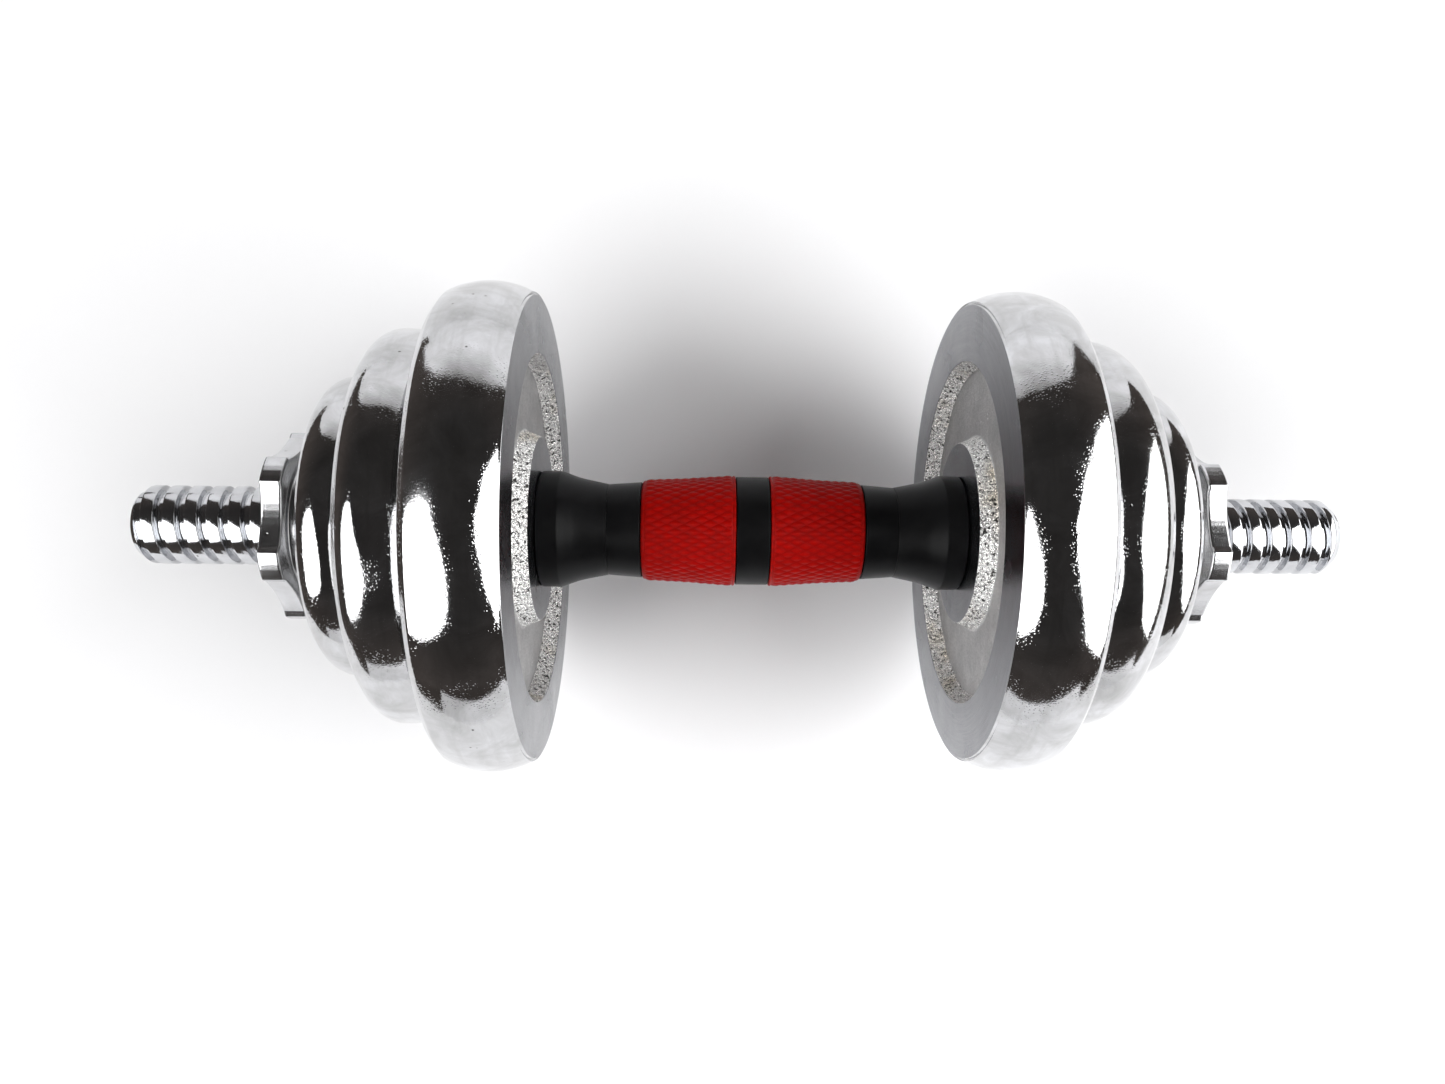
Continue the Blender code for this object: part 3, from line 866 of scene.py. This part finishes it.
build_bar()
build_grip_core()
for number, side_name in enumerate(SIDES):
    build_stop(side_name)
    build_grip_sleeve(side_name)
    build_flare_cover(side_name)
    for count, plate_kind in enumerate(PLATES):
        build_plate(plate_kind, side_name, 10 * number + count)
    build_nut(side_name)
    build_nut_ring(side_name)
    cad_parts[f"stop_pin_{side_name}"].data.materials[0] = BARE_STEEL

# Camera, floor and light

# Millimetres, and shares of the picture's width
SENSOR_WIDE = 36.0
LENS_LONG = 26.072
LENS_SHIFT = (-0.02097, 0.02249)
CAMERA_AT = (-0.01695, -0.01442, 0.34719)
CAMERA_YAW = 0.0506
CAMERA_ROLL = -0.0091

camera_data = bpy.data.cameras.new("camera")
camera_data.sensor_width = SENSOR_WIDE
camera_data.lens = LENS_LONG
camera_data.shift_x, camera_data.shift_y = LENS_SHIFT
camera_data.clip_start = 0.01
camera = bpy.data.objects.new("camera", camera_data)
camera.matrix_world = Matrix.Translation(CAMERA_AT) @ (
    Matrix.Rotation(-CAMERA_YAW, 4, "Y") @ Matrix.Rotation(-CAMERA_ROLL, 4, "Z")
)
bpy.context.scene.collection.objects.link(camera)
bpy.context.scene.camera = camera

FLOOR_Z = -0.0787
FLOOR_HALF = 4.0
WALL_HALF = 1.05
WALL_TOP = 2.5
TABLE_GAP = 0.0005
CARD_TOP = 0.17
LIGHT = 4.2
LIGHT_AWAY = 2.0


def stage_mesh(name, points, faces, material, unseen_by):
    """A part of the studio, hidden from some kinds of ray."""
    mesh = bpy.data.meshes.new(name)
    mesh.from_pydata(points, [], faces)
    mesh.materials.append(material)
    made = bpy.data.objects.new(name, mesh)
    bpy.context.scene.collection.objects.link(made)
    for kind in unseen_by:
        setattr(made, "visible_" + kind, False)


def glow(name, strength):
    material, tree, shader = new_material(name)
    wire(tree, shader, base_color=(0, 0, 0, 1), emission_color=(1, 1, 1, 1), emission_strength=strength)
    return material


def add_surround():
    """A wide pale floor under a white sky for the camera.

    The chrome mirrors a smaller table instead, with an arched card behind it, a strip of card along its front
    and a dim room beyond.
    """
    material, tree, shader = new_material("pale_floor")
    height = add_node(tree, "SeparateXYZ", {"Vector": coordinates(tree)}).outputs["Z"]
    # The cards share the floor's material, whose colour is painted darker with height: painted shade that
    # dims the cards towards their tops
    painted_dimming = remap(tree, height, 0.14, 0.34, 0.0, 1.0)
    colour = mix_colours(tree, painted_dimming, (0.86, 0.86, 0.87, 1), (0.22, 0.215, 0.21, 1))
    wire(tree, shader, base_color=colour, roughness=0.7)
    ring = [(-1, -1), (1, -1), (1, 1), (-1, 1)]
    ground = [(FLOOR_HALF * x, FLOOR_HALF * y, FLOOR_Z) for x, y in ring]
    stage_mesh("floor", ground, [(0, 1, 2, 3)], material, ["glossy"])
    walls = [(WALL_HALF * x, WALL_HALF * y, z) for z in (FLOOR_Z - 0.01, WALL_TOP) for x, y in ring]
    stage_mesh(
        "white_sky",
        walls,
        [(0, 1, 5, 4), (1, 2, 6, 5), (2, 3, 7, 6), (3, 0, 4, 7), (4, 5, 6, 7)],
        glow("white_sky", 1.0),
        ["glossy", "diffuse", "transmission", "shadow"],
    )
    table = [
        (-0.6, -1.1), (0.95, -1.1), (0.95, 0.1), (0.42, 0.6),
        (-0.5, 0.6), (-0.36, 0.4), (-0.36, -0.1), (-0.6, -0.4),
    ]  # fmt: skip
    arch = [
        (0.42, -0.02), (0.39, 0.12), (0.33, 0.22), (0.20, 0.295),
        (0, 0.335), (-0.25, 0.30), (-0.42, 0.24), (-0.55, 0.08),
    ]  # fmt: skip
    top = FLOOR_Z + TABLE_GAP
    points = [(x, y, top) for x, y in table]
    points += [(0.43, 0.6, top)] + [(x, 0.6, z) for x, z in arch] + [(-0.56, 0.6, top)]
    points += [(x, -1.1, z) for x, z in ((-0.6, top), (0.95, top), (0.95, CARD_TOP), (-0.6, CARD_TOP))]
    first, second = len(table), len(table) + len(arch) + 2
    faces = [tuple(range(first)), tuple(range(first, second)), tuple(range(second, second + 4))]
    stage_mesh("mirrored_table", points, faces, material, ["camera", "diffuse", "shadow"])


def towards(across, up):
    """A direction by its degrees away from straight overhead, to the right and to the back."""
    tilt, turn = radians(hypot(across, up)), atan2(up, across)
    return Vector((sin(tilt) * cos(turn), sin(tilt) * sin(turn), cos(tilt)))


def add_softbox(name, centre, outline):
    """A flat glowing panel that faces the object, with its centre and outline given by directions."""
    middle = towards(*centre)
    points = []
    for corner in outline:
        way = towards(*corner)
        points.append(way * LIGHT_AWAY / way.dot(middle))
    stage_mesh(name, points, [tuple(range(len(points)))], glow(name, LIGHT), ["camera"])


add_surround()
add_softbox(
    "left_softbox",
    (-44, -19),
    [
        (-69, -3), (-58, 7), (-44, 10), (-33, 7), (-25, -4), (-18, -14), (-15, -25),
        (-15, -34), (-20, -43), (-30, -47), (-58, -47), (-70, -42),
    ],
)  # fmt: skip
add_softbox(
    "right_softbox",
    (56, -2),
    [
        (20, 2), (30, 20), (50, 38), (72, 46), (83, 25),
        (86, 0), (83, -25), (71, -50), (45, -46), (30, -26), (21, -10),
    ],
)  # fmt: skip

world = bpy.data.worlds.new("studio")
world.use_nodes = True
dim = world.node_tree
skyward = add_node(dim, "TexCoord").outputs["Generated"]
overhead = add_node(dim, "SeparateXYZ", {"Vector": skyward}).outputs["Z"]
gloom = mix_colours(
    dim, remap(dim, overhead, -0.1, 0.7, 0.0, 1.0), (0.085, 0.072, 0.066, 1), (0.036, 0.034, 0.033, 1)
)
dim.links.new(gloom, dim.nodes["Background"].inputs["Color"])
bpy.context.scene.world = world

bpy.context.scene.view_settings.view_transform = "Standard"
